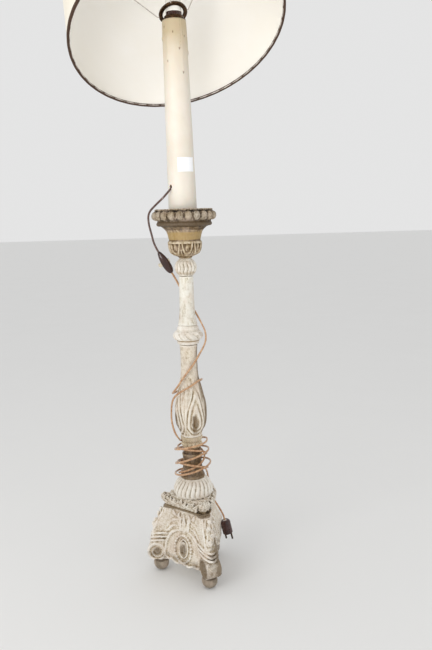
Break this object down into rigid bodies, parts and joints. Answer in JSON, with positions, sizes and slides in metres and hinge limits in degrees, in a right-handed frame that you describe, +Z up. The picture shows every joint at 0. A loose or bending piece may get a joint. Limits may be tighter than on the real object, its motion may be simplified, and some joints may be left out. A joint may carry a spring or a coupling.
{
  "type": "candlestick floor lamp",
  "caption": "Carved, painted candlestick floor lamp with a tall mock candle, a loose drum shade, an inline switch and a wound flex.",
  "frame": {"origin": "on the floor, under the middle of the stick", "axes": "+Z up along the stick, +X to the right and +Y away from the viewer who faces the carved front side, which turns a little to the left"},
  "size_m": [0.5305, 0.58, 1.7414],
  "materials": {
    "painted_wood": "worn cream paint over gesso, rubbed through to ochre in the carving",
    "bare_wood": "plain turned beech",
    "iron": "forged iron",
    "candle_sleeve": "wax-coloured sleeve with a satin skin",
    "paper": "blank white label",
    "brass": "turned brass",
    "dark_brass": "dark lacquered brass",
    "bakelite": "dark moulded plastic",
    "porcelain": "glazed white",
    "opal_glass": "white opal",
    "white_wire": "thin steel wire",
    "brown_tape": "dark brown binding",
    "shade_fabric": "off-white laminated cloth",
    "brown_flex": "brown twin flex",
    "gold_flex": "clear gold twin flex",
    "brown_bakelite": "dark brown gloss",
    "plug_bakelite": "red-brown gloss",
    "steel": "plain steel",
    "rubber": "dark grip"
  },
  "bodies": {
    "candlestick": {"foot_ball_left": "painted_wood", "foot_ball_front": "painted_wood", "foot_ball_rear": "painted_wood", "foot_dowels": "bare_wood", "base_block": "painted_wood", "base_cap": "painted_wood", "gadrooned_bun": "painted_wood", "beaded_spool": "painted_wood", "acanthus_baluster": "painted_wood", "collar_knop": "painted_wood", "upper_shaft": "painted_wood", "ball_knop": "painted_wood", "leaf_cup": "painted_wood", "drip_pan": "painted_wood", "pricket_spike": "iron", "candle_tube": "candle_sleeve", "candle_base_plug": "bare_wood", "candle_top_plug": "bare_wood", "paper_label": "paper", "nipple": "brass", "nipple_nuts": "brass", "holder_cap": "bakelite", "holder_insert": "porcelain", "holder_body": "bakelite", "holder_screw_shell": "brass", "holder_contact": "brass", "holder_terminals": "brass", "bulb_cap": "brass", "bulb_glass": "opal_glass", "inner_flex": "brown_flex", "flex_upper": "brown_flex", "flex_lower": "gold_flex", "flex_winding": "gold_flex", "flex_tail": "gold_flex", "switch_front_shell": "brown_bakelite", "switch_back_shell": "brown_bakelite", "switch_contacts": "brass", "switch_screws": "steel", "plug_cover": "plug_bakelite", "plug_base": "plug_bakelite", "plug_pins": "steel", "plug_cord_grip": "rubber"},
    "carrier_seat": {"seat_washer": "dark_brass"},
    "lampshade": {"carrier_ring": "dark_brass", "carrier_arms": "white_wire", "shade_top_ring": "white_wire", "shade_bottom_ring": "white_wire", "shade_top_trim": "brown_tape", "shade_bottom_trim": "brown_tape", "shade_skin": "shade_fabric"},
    "button": {"switch_button": "brown_bakelite", "switch_bridge": "brass"}
  },
  "joints": [
    {"name": "shade_turn", "type": "hinge", "parent": "candlestick", "child": "carrier_seat", "pos_m": [-0.00723, 0, 1.36517], "axis": [-0.012, 0, 0.9999], "continuous": true},
    {"name": "shade_tilt", "type": "hinge", "parent": "carrier_seat", "child": "lampshade", "pos_m": [-0.01717, 0.0251, 1.36505], "axis": [-0.9297, -0.3681, -0.0112], "range_deg": [-28.5, 0]},
    {"name": "switch_push", "type": "slide", "parent": "candlestick", "child": "button", "axis": [0.869, 0, 0.4947], "range_m": [0, 0.006]}
  ]
}
